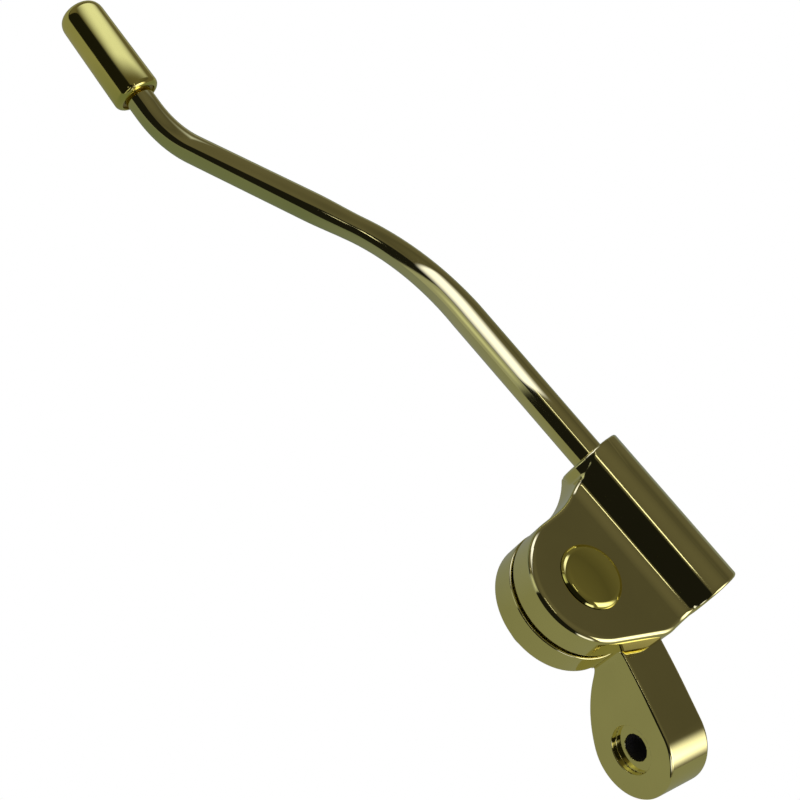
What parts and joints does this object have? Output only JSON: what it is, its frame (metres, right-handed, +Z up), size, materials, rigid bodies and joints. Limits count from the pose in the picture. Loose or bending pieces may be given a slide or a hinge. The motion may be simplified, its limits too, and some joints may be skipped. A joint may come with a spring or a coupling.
{
  "type": "guitar vibrato arm",
  "caption": "Polished gold vibrato arm: a bent round rod with a capped tip, held in the barrel of a folding swivel holder on a screw-on lever.",
  "frame": {"origin": "centre of the lever's screw hole, on the back face that bears on the vibrato's shaft", "axes": "+Y out of the bearing face along the screw hole, +X from the swivel pivot towards the screw hole, +Z up along the swivel pivot"},
  "size_m": [0.1927, 0.0559, 0.0373],
  "materials": {
    "gold_casting": "mirror-polished gold plate over a casting",
    "gold_steel": "mirror-polished gold plate over steel",
    "gold_brass": "mirror-polished gold plate over turned brass",
    "plain_brass": "turned",
    "steel": "zinc plated",
    "nylon": "natural nylon"
  },
  "bodies": {
    "base": {"base_lever": "gold_casting", "pivot_bush": "nylon", "friction_washer_upper": "nylon", "friction_washer_lower": "nylon"},
    "holder": {"arm_holder": "gold_casting", "pivot_bolt": "gold_steel", "disc_spring_upper": "steel", "disc_spring_lower": "steel", "thrust_washer": "steel", "lock_nut": "steel", "nut_insert": "nylon", "set_screw_upper": "steel", "set_screw_lower": "steel", "screw_pad_upper": "nylon", "screw_pad_lower": "nylon", "barrel_plug": "gold_steel"},
    "sleeve": {"friction_sleeve": "nylon"},
    "arm": {"arm_rod": "gold_steel", "rod_clip": "steel", "arm_tip": "gold_brass", "tip_bush": "plain_brass"}
  },
  "joints": [
    {"name": "swivel", "type": "hinge", "parent": "base", "child": "holder", "pos_m": [-0.0275, -0.0141, 0.0173], "axis": [0, 0, 1], "continuous": true},
    {"name": "arm_slide", "type": "slide", "parent": "holder", "child": "sleeve", "axis": [-0.9686, -0.2487, 0], "range_m": [-0.004, 0.004]},
    {"name": "arm_twist", "type": "hinge", "parent": "sleeve", "child": "arm", "pos_m": [-0.03235, 0.00479, 0.01745], "axis": [0.9686, 0.2487, 0], "continuous": true}
  ]
}
